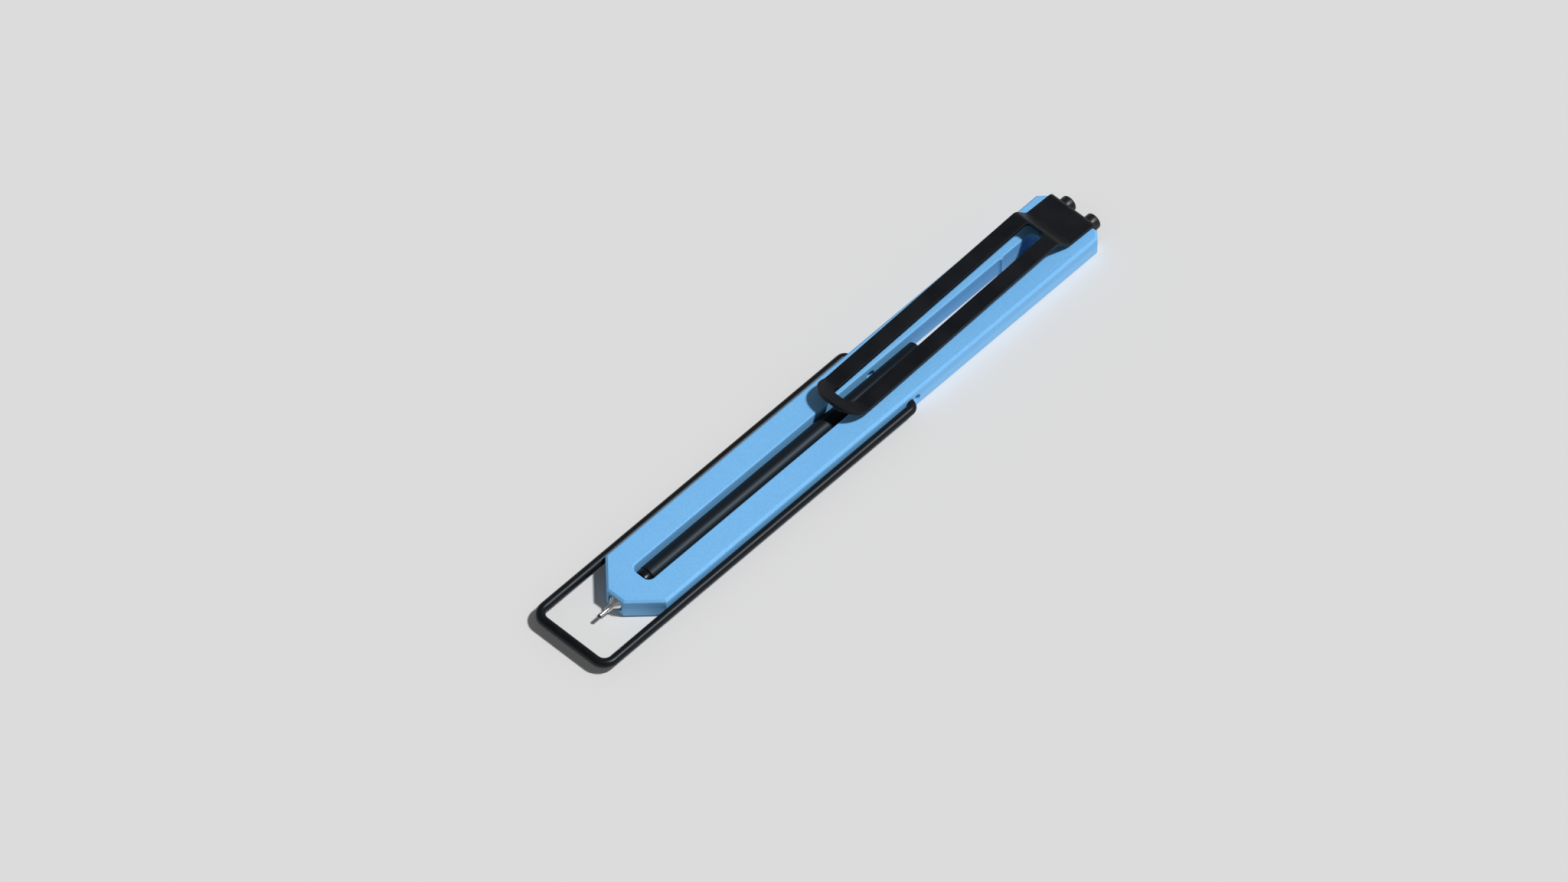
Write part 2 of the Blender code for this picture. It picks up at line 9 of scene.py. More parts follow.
import bmesh
import bpy
import numpy as np
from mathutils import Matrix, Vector


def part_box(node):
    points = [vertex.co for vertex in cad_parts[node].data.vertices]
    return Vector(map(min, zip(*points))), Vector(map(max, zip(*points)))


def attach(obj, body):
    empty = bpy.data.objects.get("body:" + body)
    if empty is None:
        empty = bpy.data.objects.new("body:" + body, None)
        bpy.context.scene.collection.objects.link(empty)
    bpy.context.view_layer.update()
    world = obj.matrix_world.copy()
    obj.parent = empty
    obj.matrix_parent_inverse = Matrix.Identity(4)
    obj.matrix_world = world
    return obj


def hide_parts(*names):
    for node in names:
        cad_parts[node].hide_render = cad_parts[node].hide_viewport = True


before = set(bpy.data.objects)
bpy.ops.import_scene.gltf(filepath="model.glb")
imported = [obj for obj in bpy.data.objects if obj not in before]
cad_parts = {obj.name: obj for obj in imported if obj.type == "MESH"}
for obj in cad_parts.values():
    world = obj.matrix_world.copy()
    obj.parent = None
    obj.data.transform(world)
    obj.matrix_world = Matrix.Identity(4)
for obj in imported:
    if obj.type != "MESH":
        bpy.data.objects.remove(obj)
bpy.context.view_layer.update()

# The bar: milled from flat aluminium stock, with a long slot for the refill and a short one behind it.
# Every long edge is chamfered, and the whole bar is bead-blasted and dyed sky blue in the anodising bath.
bar_low, bar_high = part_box("body_bar")
nose = bar_low.x
rear = bar_high.x
half_bar = bar_high.y
bar_top = bar_high.z
mid_height = bar_top / 2
NOSE_CUT = 0.0072
REAR_CUT = 0.0019
BAR_EDGE = 0.0006
SLOT_EDGE = 0.0003
SLOT_HALF_WIDTH = 0.00292
SLOT_FRONT = nose + 0.00855
SLOT_CORNER = 0.00175
MAIN_SLOT_END = nose + 0.13815
REAR_SLOT_START = nose + 0.13700
REAR_SLOT_END = nose + 0.14850
BAR_SOFTNESS = 0.0001
BAR_CORNER_SOFTNESS = 0.0002
BORE_SIDES = 64


def line(start, end, shares):
    """Points on a straight line: start + share (end - start), for an array of shares from 0 to 1."""
    start, end = np.asarray(start, float), np.asarray(end, float)
    return start + shares[:, None] * (end - start)


def arc(centre, radius, first, last, count):
    """Points on a circle: centre + radius (cos a, sin a), for angles a from first to last in degrees."""
    angle = np.radians(np.linspace(first, last, count))
    return np.asarray(centre) + radius * np.stack([np.cos(angle), np.sin(angle)], -1)


def softened(rails, reach):
    """Round each corner of a closed loop of rails, an array of (rail, point, xyz).

    A rail at C becomes three, on the curve (1-t)^2 A + 2t(1-t) C + t^2 B at t = 0, 1/2 and 1,
    where A and B lie at the reach from C towards the rails before and after it.
    """
    before = np.roll(rails, 1, axis=0) - rails
    after = np.roll(rails, -1, axis=0) - rails
    ends = []
    for way in (before, after):
        length = np.linalg.norm(way, axis=-1, keepdims=True)
        ends.append(rails + way * np.minimum(reach / length, 0.45))
    middle = ends[0] / 4 + rails / 2 + ends[1] / 4
    return np.stack([ends[0], middle, ends[1]], 1).reshape(-1, *rails.shape[1:])


def skin(name, grid, ends_meet=False):
    """A closed mesh over a grid of points, an array of (ring, point, xyz).

    Each ring closes on itself and is joined to the next by four-sided faces. The last ring is joined
    to the first where the ends meet; otherwise each end ring is filled, or is a pole if it is one point.
    """
    rings, count = grid.shape[:2]
    index = np.arange(rings * count).reshape(rings, count)
    across = np.roll(index, -1, axis=1)
    if ends_meet:
        here, there = index, np.roll(index, -1, axis=0)
        across_there = np.roll(across, -1, axis=0)
    else:
        here, there = index[:-1], index[1:]
        across, across_there = across[:-1], across[1:]
    faces = np.stack([here, across, across_there, there], -1).reshape(-1, 4).tolist()
    if not ends_meet:
        for ring, loop in ((0, index[0, ::-1]), (-1, index[-1])):
            if np.ptp(grid[ring], axis=0).max() > 1e-7:
                faces.append(loop.tolist())
    mesh = bpy.data.meshes.new(name)
    mesh.from_pydata(grid.reshape(-1, 3).tolist(), [], faces)
    shape = bmesh.new()
    shape.from_mesh(mesh)
    bmesh.ops.remove_doubles(shape, verts=shape.verts, dist=1e-8)
    bmesh.ops.recalc_face_normals(shape, faces=shape.faces)
    shape.to_mesh(mesh)
    shape.free()
    obj = bpy.data.objects.new(name, mesh)
    bpy.context.scene.collection.objects.link(obj)
    return obj


def carve(obj, cutters):
    """Take the cutters' solids out of a piece for good, and delete them."""
    for cutter in cutters:
        modifier = obj.modifiers.new(cutter.name, "BOOLEAN")
        modifier.operation = "DIFFERENCE"
        modifier.solver = "EXACT"
        modifier.object = cutter
    graph = bpy.context.evaluated_depsgraph_get()
    carved = bpy.data.meshes.new_from_object(obj.evaluated_get(graph))
    obj.modifiers.clear()
    obj.data = carved
    for cutter in cutters:
        bpy.data.objects.remove(cutter, do_unlink=True)


def bore(name, start, end, radius):
    """A round cutter between two points: at each, the ring point + radius (cos a, sin a) across the line."""
    start, end = np.asarray(start, float), np.asarray(end, float)
    way = (end - start) / np.linalg.norm(end - start)
    side = np.cross(way, (0.0, 0.0, 1.0))
    up = np.cross(side, way)
    angle = np.linspace(0, 2 * np.pi, BORE_SIDES, endpoint=False)[:, None]
    ring = radius * (np.cos(angle) * side + np.sin(angle) * up)
    return skin(name, np.stack([start + ring, end + ring]))


def dress(obj, finish, body, slot, *nodes, smooth=35):
    """Give a piece its finish, tie it to a body and let it stand for its CAD nodes."""
    obj.data.materials.clear()
    obj.data.materials.append(finish)
    obj.data.shade_smooth()
    obj.data.set_sharp_from_angle(angle=math.radians(smooth))
    even = obj.modifiers.new("even_normals", "WEIGHTED_NORMAL")
    even.keep_sharp = True
    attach(obj, body)
    if nodes:
        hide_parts(*nodes)
    return obj


# Shares of the way along each side of the bar's outline, from the nose's middle to the rear's middle
END_SHARES = np.linspace(0, 1, 6)
CORNER_SHARES = np.linspace(0, 1, 14)
BEND_SHARES = np.linspace(0, 1, 5)[1:-1]


def slot_half(offset):
    """The left half of the slot's outline, moved outwards by an offset.

    It runs from the nose: end flat, corner arc, long side, the cusp where the two slots meet, short side,
    corner arc and end flat.
    """
    radius = SLOT_CORNER + offset
    side = SLOT_HALF_WIDTH + offset
    centre_y = SLOT_HALF_WIDTH - SLOT_CORNER
    corner_count = len(CORNER_SHARES) + 2 * len(BEND_SHARES)
    main_centre = MAIN_SLOT_END - SLOT_CORNER
    rear_centre = REAR_SLOT_START + SLOT_CORNER
    cusp = math.degrees(math.acos((rear_centre - main_centre) / 2 / radius))
    front_centre = SLOT_FRONT + SLOT_CORNER
    back_centre = REAR_SLOT_END - SLOT_CORNER
    sides = [
        line((front_centre, side), (main_centre, side), np.linspace(0, 1, 40)),
        arc((main_centre, centre_y), radius, 90, cusp, 8)[1:],
        arc((rear_centre, centre_y), radius, 180 - cusp, 90, 8)[1:],
        line((rear_centre, side), (back_centre, side), np.linspace(0, 1, 6))[1:],
    ]
    return [
        line((SLOT_FRONT - offset, 0), (SLOT_FRONT - offset, centre_y), END_SHARES),
        arc((front_centre, centre_y), radius, 180, 90, corner_count + 2)[1:-1],
        np.concatenate(sides),
        arc((back_centre, centre_y), radius, 90, 0, corner_count + 2)[1:-1],
        line((REAR_SLOT_END + offset, centre_y), (REAR_SLOT_END + offset, 0), END_SHARES),
    ]


def outer_half(inset, side_shares):
    """The left half of the bar's outline, the whole of it moved in by an inset."""
    slant = inset * math.tan(math.radians(22.5))
    side = half_bar - inset
    corners = [
        (nose + inset, 0),
        (nose + inset, half_bar - NOSE_CUT - slant),
        (nose + NOSE_CUT + slant, side),
        (rear - REAR_CUT - slant, side),
        (rear - inset, half_bar - REAR_CUT - slant),
        (rear - inset, 0),
    ]
    corners = np.array(corners)
    shares = [END_SHARES, CORNER_SHARES, side_shares, CORNER_SHARES, END_SHARES]
    chain = []
    for i, share in enumerate(shares):
        start, end = corners[i], corners[i + 1]
        way = (end - start) / np.linalg.norm(end - start)
        first = start + way * (BAR_CORNER_SOFTNESS if i > 0 else 0)
        last = end - way * (BAR_CORNER_SOFTNESS if i < 4 else 0)
        chain.append(line(first, last, share))
        if i < 4:
            onward = corners[i + 2] - end
            after = end + onward / np.linalg.norm(onward) * BAR_CORNER_SOFTNESS
            t = BEND_SHARES[:, None]
            chain.append((1 - t) ** 2 * last + 2 * t * (1 - t) * end + t**2 * after)
    return np.concatenate(chain)


def ring_at(half, height):
    """A whole outline at a height, from its left half and the mirror image of it."""
    around = np.concatenate([half, half[-2:0:-1] * (1, -1)])
    return np.column_stack([around, np.full(len(around), height)])


def bar_surface():
    """The bar's skin: eight outlines, one inside or above the next, each carried right round the bar."""
    parts = slot_half(0.0)
    along = parts[2][:, 0]
    side_shares = (along - along[0]) / (along[-1] - along[0])
    slot = np.concatenate(parts)
    flare = np.concatenate(slot_half(SLOT_EDGE))
    wall = outer_half(0.0, side_shares)
    rim = outer_half(BAR_EDGE, side_shares)
    rails = [
        ring_at(wall, BAR_EDGE),
        ring_at(wall, bar_top - BAR_EDGE),
        ring_at(rim, bar_top),
        ring_at(flare, bar_top),
        ring_at(slot, bar_top - SLOT_EDGE),
        ring_at(slot, SLOT_EDGE),
        ring_at(flare, 0.0),
        ring_at(rim, 0.0),
    ]
    return softened(np.array(rails), BAR_SOFTNESS)


NOSE_BORE_RADIUS = 0.0022
PIVOT_X = nose + 0.0915
PIVOT_BORE_RADIUS = 0.00135
CLAMP_X = nose + 0.0940
CLAMP_BORE_RADIUS = 0.0011
SCREW_BORE_RADIUS = 0.00135
SCREW_BORE_DEPTH = 0.0083
SCREW_HALF_SPACING = 0.0040
PAST = 0.001

body_bar = skin("bar", bar_surface(), ends_meet=True)
bores = [
    bore("nose_bore", (nose - PAST, 0, mid_height), (SLOT_FRONT + PAST, 0, mid_height), NOSE_BORE_RADIUS),
    bore("pivot_bore", (PIVOT_X, -half_bar - PAST, mid_height), (PIVOT_X, half_bar + PAST, mid_height),
         PIVOT_BORE_RADIUS),
    bore("clamp_bore", (CLAMP_X, -half_bar - PAST, mid_height), (CLAMP_X, 0, mid_height),
         CLAMP_BORE_RADIUS),
]
for side in (-1, 1):
    across = side * SCREW_HALF_SPACING
    deep, mouth = (rear - SCREW_BORE_DEPTH, across, mid_height), (rear + PAST, across, mid_height)
    bores.append(bore(f"screw_bore_{side}", deep, mouth, SCREW_BORE_RADIUS))
carve(body_bar, bores)

ANODISED_BLUE = (0.190, 0.496, 0.866)
ANODISED_PALE = (0.208, 0.524, 0.892)
ANODISED_FLECK = (0.152, 0.432, 0.792)
ANODISED_LOWER = (0.240, 0.550, 0.900)
BAR_DUST = (0.11, 0.26, 0.44)
LOWER_BAND_FULL = 0.0031
LOWER_BAND_END = 0.0034
LOWER_BAND_SHARE = 0.6


def new_group(name, inputs, outputs):
    """An empty shader node group with number inputs (name, default) and number outputs."""
    group = bpy.data.node_groups.new(name, "ShaderNodeTree")
    for label, default in inputs:
        socket = group.interface.new_socket(label, in_out="INPUT", socket_type="NodeSocketFloat")
        socket.default_value = default
    for label in outputs:
        group.interface.new_socket(label, in_out="OUTPUT", socket_type="NodeSocketFloat")
    return group, group.nodes.new("NodeGroupInput"), group.nodes.new("NodeGroupOutput")


def math_node(tree, operation, first, second):
    """A math node with two inputs, each a socket or a number."""
    node = tree.nodes.new("ShaderNodeMath")
    node.operation = operation
    for socket, value in zip(node.inputs, (first, second)):
        if isinstance(value, (int, float)):
            socket.default_value = value
        else:
            tree.links.new(value, socket)
    return node.outputs[0]


def mottle_group():
    """Grain and cloudiness: fine noise for the blasted skin, broad noise for uneven dye or handling."""
    group, given, out = new_group("blasted_mottle", [("Grain Scale", 3000), ("Cloud Scale", 60)],
                                  ["Grain", "Cloud"])
    place = group.nodes.new("ShaderNodeTexCoord")
    for scale, result, detail in (("Grain Scale", "Grain", 2.0), ("Cloud Scale", "Cloud", 4.0)):
        noise = group.nodes.new("ShaderNodeTexNoise")
        noise.inputs["Detail"].default_value = detail
        group.links.new(place.outputs["Object"], noise.inputs["Vector"])
        group.links.new(given.outputs[scale], noise.inputs["Scale"])
        group.links.new(noise.outputs["Fac"], out.inputs[result])
    return group


def speck_group():
    """Sparse dust: 1 in a small round spot in each cell whose random value is below the share, else 0."""
    group, given, out = new_group("dust_specks", [("Cells", 500), ("Share", 0.04), ("Size", 0.18)],
                                  ["Speck"])
    place = group.nodes.new("ShaderNodeTexCoord")
    cells = group.nodes.new("ShaderNodeTexVoronoi")
    group.links.new(place.outputs["Object"], cells.inputs["Vector"])
    group.links.new(given.outputs["Cells"], cells.inputs["Scale"])
    near = math_node(group, "LESS_THAN", cells.outputs["Distance"], given.outputs["Size"])
    split = group.nodes.new("ShaderNodeSeparateColor")
    group.links.new(cells.outputs["Color"], split.inputs["Color"])
    chosen = math_node(group, "LESS_THAN", split.outputs["Red"], given.outputs["Share"])
    group.links.new(math_node(group, "MULTIPLY", near, chosen), out.inputs["Speck"])
    return group


mottle = mottle_group()
specks = speck_group()


def placed(tree, group, **values):
    """The group's node in a material's tree, with its own input values."""
    node = tree.nodes.new("ShaderNodeGroup")
    node.node_tree = group
    for label, value in values.items():
        node.inputs[label.replace("_", " ")].default_value = value
    return node


def blend_colour(tree, factor, first, second):
    """A colour between two, each a socket or an (r, g, b), by a factor socket."""
    mix = tree.nodes.new("ShaderNodeMix")
    mix.data_type = "RGBA"
    tree.links.new(factor, mix.inputs["Factor"])
    for socket, value in ((mix.inputs["A"], first), (mix.inputs["B"], second)):
        if isinstance(value, tuple):
            socket.default_value = (*value, 1)
        else:
            tree.links.new(value, socket)
    return mix.outputs["Result"]


def ranged(tree, value, low, high, to_low, to_high):
    """A value taken from one range to another and held within it."""
    node = tree.nodes.new("ShaderNodeMapRange")
    tree.links.new(value, node.inputs["Value"])
    for label, number in (("From Min", low), ("From Max", high), ("To Min", to_low), ("To Max", to_high)):
        node.inputs[label].default_value = number
    return node.outputs["Result"]


def plain_finish(name, metallic=0.0, specular=0.5, gleam_tint=(1, 1, 1)):
    """A material with its Principled shader's even values set, and the shader to link the rest to."""
    made = bpy.data.materials.new(name)
    made.use_nodes = True
    shader = made.node_tree.nodes["Principled BSDF"]
    shader.inputs["Metallic"].default_value = metallic
    shader.inputs["Specular IOR Level"].default_value = specular
    shader.inputs["Specular Tint"].default_value = (*gleam_tint, 1)
    return made, made.node_tree, shader


def bumped(tree, shader, height, strength, distance):
    """Drive the shader's normal from a height."""
    bump = tree.nodes.new("ShaderNodeBump")
    bump.inputs["Strength"].default_value = strength
    bump.inputs["Distance"].default_value = distance
    tree.links.new(height, bump.inputs["Height"])
    tree.links.new(bump.outputs["Normal"], shader.inputs["Normal"])


def anodised_finish():
    """Sky-blue anodising over a blasted skin: cloudy dye, fine grain, and a few dark specks of dust.

    Below 3.1 mm up the blue is a shade paler, easing back to the full blue by 3.4 mm.
    """
    made, tree, shader = plain_finish("sky_blue_anodised", specular=0.35)
    grain = placed(tree, mottle, Grain_Scale=3400, Cloud_Scale=90)
    cloud = ranged(tree, grain.outputs["Cloud"], 0.35, 0.65, 0, 1)
    dyed = blend_colour(tree, cloud, ANODISED_BLUE, ANODISED_PALE)
    fleck = ranged(tree, grain.outputs["Grain"], 0.3, 0.7, 0, 0.9)
    dyed = blend_colour(tree, fleck, dyed, ANODISED_FLECK)
    place = tree.nodes.new("ShaderNodeTexCoord")
    split = tree.nodes.new("ShaderNodeSeparateXYZ")
    tree.links.new(place.outputs["Object"], split.inputs["Vector"])
    # Colour by height: a shade paler below 3.1 mm, the full blue above 3.4 mm.
    paler_below = ranged(tree, split.outputs["Z"], LOWER_BAND_FULL, LOWER_BAND_END, LOWER_BAND_SHARE, 0)
    dyed = blend_colour(tree, paler_below, dyed, ANODISED_LOWER)
    dust = placed(tree, specks, Cells=300, Share=0.03, Size=0.07)
    soiled = blend_colour(tree, dust.outputs["Speck"], dyed, BAR_DUST)
    tree.links.new(soiled, shader.inputs["Base Color"])
    tree.links.new(ranged(tree, grain.outputs["Grain"], 0.3, 0.7, 0.50, 0.60), shader.inputs["Roughness"])
    bumped(tree, shader, grain.outputs["Grain"], 0.35, 0.00005)
    return made


dress(body_bar, anodised_finish(), "pen_body", "bar", "body_bar")

# The clip: a blanked strip of spring steel, bent at its tab, ramp, crest and lip, and coated satin black.
# The tab is held to the rear face by two screws; its punched edges are a little rounded by tumbling.
clip_low, clip_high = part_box("pocket_clip")
CLIP_SHEET = 0.0009
CLIP_HALF_WIDTH = 0.007125
CLIP_SOFTNESS = 0.00012
SEAT = 0.0001
tab_face = rear + SEAT + CLIP_SHEET
plate_top = bar_top + SEAT + CLIP_SHEET
TAB_FOOT = 0.0011
TAB_CORNER = 0.0015
PLATE_LENGTH = 0.0098
PLATE_RISE = 0.0005
RAMP_RUN = 0.0040
RAMP_RISE = 0.0041
LEG_LENGTH = 0.0672
LEG_DROP = 0.0028
ramp_foot_x = tab_face - PLATE_LENGTH
ramp_foot_z = plate_top + PLATE_RISE
crest_x = ramp_foot_x - RAMP_RUN
crest_z = ramp_foot_z + RAMP_RISE
heel_x = crest_x - LEG_LENGTH
heel_z = crest_z - LEG_DROP
LIP_RUN = 0.0058
LIP_RISE = 0.0027
LIP_NOSE_DEPTH = 0.0057
LIP_NOSE_POWER = 2.5
CLIP_SLOT_HALF_WIDTH = 0.0028
CLIP_SLOT_CORNER = 0.0014
SLOT_PAST_HEEL = 0.0022
SLOT_SHORT_OF_CREST = 0.0002
clip_slot_front = heel_x - SLOT_PAST_HEEL
clip_slot_back = crest_x - SLOT_SHORT_OF_CREST
FOLD_RADIUS = 0.0020
FOOT_RADIUS = 0.0020
CREST_RADIUS = 0.0025
HEEL_RADIUS = 0.0025
BEND_COUNT = 14


def bent_path(corners, counts):
    """A path through (x, z) corners, with each inner corner turned by an arc of its own radius.

    Straight stretches get the number of points in counts, which may also be an array of shares.
    """
    path = []
    start = np.array(corners[0][:2])
    for i, share in enumerate(counts):
        end = np.array(corners[i + 1][:2])
        shares = np.linspace(0, 1, share) if isinstance(share, int) else share
        if i == len(counts) - 1:
            path.append(line(start, end, shares))
            break
        back = (start - end) / np.linalg.norm(start - end)
        ahead = np.array(corners[i + 2][:2]) - end
        ahead = ahead / np.linalg.norm(ahead)
        half = math.acos(np.clip(back @ ahead, -1, 1)) / 2
        radius = corners[i + 1][2]
        middle = (back + ahead) / np.linalg.norm(back + ahead)
        centre = end + middle * radius / math.sin(half)
        leave = end + back * radius / math.tan(half)
        path.append(line(start, leave, shares)[:-1])
        first = leave - centre
        turn = math.pi - 2 * half
        cross = back[0] * ahead[1] - back[1] * ahead[0]
        angle = np.linspace(0, turn, BEND_COUNT) * (-1 if cross > 0 else 1)
        cos, sin = np.cos(angle), np.sin(angle)
        swung = np.stack([cos * first[0] - sin * first[1], sin * first[0] + cos * first[1]], -1)
        path.append(centre + swung)
        start = path[-1][-1]
        path[-1] = path[-1][:-1]
    return np.concatenate(path)


def clip_surface():
    """The clip's skin: a flat section with rounded edges, carried along the bent path.

    Half its width is W (1 - (1 - d/D)^p)^(1/p) over the lip's last depth D, where d is the way from
    the lip's end, and W - R + sqrt(R^2 - (R - d)^2) at the tab's corners of radius R.
    """
    quarter = np.sin(np.linspace(0, np.pi / 2, 26)) ** 2
    tab_rise = (plate_top - TAB_FOOT) - FOLD_RADIUS
    corner_shares = TAB_CORNER / tab_rise * np.sin(np.linspace(0, np.pi / 2, 12)) ** 2
    tab_shares = np.concatenate([corner_shares, [0.7, 1.0]])
    lip_end_x = heel_x - LIP_RUN
    lip_span = 1 - LIP_NOSE_DEPTH / LIP_RUN
    lip_shares = 1 - (1 - lip_span) * quarter[::-1]
    lip_shares = np.concatenate([[0.0], lip_shares])
    corners = [
        (tab_face, TAB_FOOT, 0),
        (tab_face, plate_top, FOLD_RADIUS),
        (ramp_foot_x, ramp_foot_z, FOOT_RADIUS),
        (crest_x, crest_z, CREST_RADIUS),
        (heel_x, heel_z, HEEL_RADIUS),
        (lip_end_x, heel_z + LIP_RISE, 0),
    ]
    path = bent_path(corners, [tab_shares, 8, 6, 24, lip_shares])
    step = np.diff(path, axis=0)
    step = step / np.linalg.norm(step, axis=1, keepdims=True)
    ahead = np.concatenate([step, step[-1:]])
    behind = np.concatenate([step[:1], step])
    mean = ahead + behind
    mean = mean / np.linalg.norm(mean, axis=1, keepdims=True)
    stretch = 1 / np.sum(mean * ahead, axis=1, keepdims=True)
    inward = np.stack([-mean[:, 1], mean[:, 0]], -1) * stretch

    half = np.full(len(path), CLIP_HALF_WIDTH)
    near_tab = np.clip(path[:, 1] - TAB_FOOT, 0, TAB_CORNER)
    on_tab = path[:, 0] > tab_face - SEAT
    corner_loss = TAB_CORNER - np.sqrt(TAB_CORNER**2 - (TAB_CORNER - near_tab) ** 2)
    half[on_tab] -= corner_loss[on_tab]
    from_end = np.clip((path[:, 0] - lip_end_x) / LIP_NOSE_DEPTH, 0, 1)
    on_lip = path[:, 0] < heel_x
    nose_half = CLIP_HALF_WIDTH * (1 - (1 - from_end) ** LIP_NOSE_POWER) ** (1 / LIP_NOSE_POWER)
    half[on_lip] = nose_half[on_lip]

    soft = np.minimum(CLIP_SOFTNESS, half / 2)[:, None]
    turn = np.radians(np.linspace(0, 90, 5))
    round_y, round_n = np.sin(turn), np.cos(turn)
    flat = (half[:, None] - soft) + soft * round_y
    depth = soft * (1 - round_n)
    y = np.concatenate([flat, flat[:, ::-1], -flat, -flat[:, ::-1]], 1)
    n = np.concatenate([depth, CLIP_SHEET - depth[:, ::-1], CLIP_SHEET - depth, depth[:, ::-1]], 1)
    grid = np.empty((*y.shape, 3))
    grid[..., 0] = path[:, :1] + n * inward[:, :1]
    grid[..., 1] = y
    grid[..., 2] = path[:, 1:] + n * inward[:, 1:]
    return grid


def clip_slot_cutter():
    """The slot's cutter: a rounded rectangle in plan, carried straight up through the legs."""
    reach = CLIP_SLOT_HALF_WIDTH - CLIP_SLOT_CORNER
    ring = np.concatenate([
        arc((clip_slot_back - CLIP_SLOT_CORNER, reach), CLIP_SLOT_CORNER, 0, 90, 16),
        arc((clip_slot_front + CLIP_SLOT_CORNER, reach), CLIP_SLOT_CORNER, 90, 180, 16),
        arc((clip_slot_front + CLIP_SLOT_CORNER, -reach), CLIP_SLOT_CORNER, 180, 270, 16),
        arc((clip_slot_back - CLIP_SLOT_CORNER, -reach), CLIP_SLOT_CORNER, 270, 360, 16),
    ])
    heights = (bar_top, clip_high.z + PAST)
    return skin("clip_slot", np.stack([np.column_stack([ring, np.full(len(ring), z)]) for z in heights]))


clip = skin("clip", clip_surface())
TAB_HOLE_RADIUS = 0.00135
TUMBLED_EDGE = 0.00009
holes = [clip_slot_cutter()]
for side in (-1, 1):
    across = side * SCREW_HALF_SPACING
    start, end = (rear - PAST, across, mid_height), (tab_face + PAST, across, mid_height)
    holes.append(bore(f"tab_hole_{side}", start, end, TAB_HOLE_RADIUS))
carve(clip, holes)
tumbled = clip.modifiers.new("tumbled_edges", "BEVEL")
tumbled.limit_method = "ANGLE"
tumbled.angle_limit = math.radians(60)
tumbled.width = TUMBLED_EDGE
tumbled.segments = 2
tumbled.use_clamp_overlap = False

CLIP_BLACK = (0.0035, 0.0042, 0.0056)
CLIP_WORN = (0.0060, 0.0068, 0.0085)
CLIP_DUST = (0.045, 0.046, 0.048)


def coated_steel_finish():
    """Satin black coating on rolled steel: faint cloudiness, fine orange peel and pale dust."""
    made, tree, shader = plain_finish("satin_black_coating", specular=0.22, gleam_tint=(0.8, 0.9, 1))
    grain = placed(tree, mottle, Grain_Scale=5200, Cloud_Scale=140)
    cloud = ranged(tree, grain.outputs["Cloud"], 0.35, 0.65, 0, 1)
    tint = blend_colour(tree, cloud, CLIP_BLACK, CLIP_WORN)
    dust = placed(tree, specks, Cells=420, Share=0.06, Size=0.07)
    dusty = blend_colour(tree, dust.outputs["Speck"], tint, CLIP_DUST)
    tree.links.new(dusty, shader.inputs["Base Color"])
    tree.links.new(ranged(tree, grain.outputs["Cloud"], 0.3, 0.7, 0.42, 0.54), shader.inputs["Roughness"])
    bumped(tree, shader, grain.outputs["Grain"], 0.12, 0.00003)
    return made


dress(clip, coated_steel_finish(), "pen_body", "clip", "pocket_clip", smooth=30)

# The clip screws: two socket head cap screws, cold-headed steel with a black oxide skin.
# Each passes through the tab into a tapped hole in the rear face, and keeps a faint film of oil.
HEAD_RADIUS = 0.00215
HEAD_HEIGHT = 0.0025
HEAD_ROUND = 0.0004
SHANK_RADIUS = 0.00125
SHANK_LENGTH = 0.0080
HEX_HALF_FLATS = 0.0010
HEX_DEPTH = 0.0012
HEX_CHAMFER = 0.00008
HEAD_FOOT_ROUND = 0.0001
POINT_CHAMFER = 0.0003
OXIDE_BLACK = (0.0080, 0.0085, 0.0095)
OXIDE_WORN = (0.018, 0.016, 0.014)
head_seat = tab_face + SEAT


def lathe(name, profile, sides, centre_y=0.0, centre_z=0.0):
    """A turned piece along X: each (x, r) of the profile gives the ring (x, y0 + r cos a, z0 + r sin a).

    A profile entry may hold an array of radii in place of one, for a ring that isn't round.
    """
    angle = np.linspace(0, 2 * np.pi, sides, endpoint=False)
    rings = []
    for x, radius in profile:
        reach = np.broadcast_to(radius, angle.shape)
        ring = [np.full(sides, x), centre_y + reach * np.cos(angle), centre_z + reach * np.sin(angle)]
        rings.append(np.stack(ring, -1))
    return skin(name, np.array(rings))


def quarter_round(x, radius, reach, first, last, count=5):
    """Profile points on an arc about (x, radius), angles in degrees, 0 towards +X and 90 outwards."""
    angle = np.radians(np.linspace(first, last, count))
    return list(zip(x + reach * np.cos(angle), radius + reach * np.sin(angle)))


def screw_profile(sides):
    """A cap screw's profile from its socket's floor, out over the head and down the shank to its point.

    The socket's rings are a hexagon: half its width across flats over cos(a), where a is the angle from
    the middle of the nearest flat.
    """
    angle = np.linspace(0, 2 * np.pi, sides, endpoint=False)
    from_flat = np.mod(angle, np.pi / 3) - np.pi / 6
    hexagon = HEX_HALF_FLATS / np.cos(from_flat)
    top = head_seat + HEAD_HEIGHT
    tip = head_seat - SHANK_LENGTH
    profile = [(top - HEX_DEPTH, 0.0), (top - HEX_DEPTH, hexagon), (top - HEX_CHAMFER, hexagon)]
    profile += [(top, hexagon + HEX_CHAMFER)]
    profile += quarter_round(top - HEAD_ROUND, HEAD_RADIUS - HEAD_ROUND, HEAD_ROUND, 0, 90, 7)
    profile += quarter_round(head_seat + HEAD_FOOT_ROUND, HEAD_RADIUS - HEAD_FOOT_ROUND, HEAD_FOOT_ROUND,
                             90, 180, 3)
    profile += [(head_seat, SHANK_RADIUS), (tip + POINT_CHAMFER, SHANK_RADIUS)]
    profile += [(tip, SHANK_RADIUS - POINT_CHAMFER), (tip, 0.0)]
    return profile


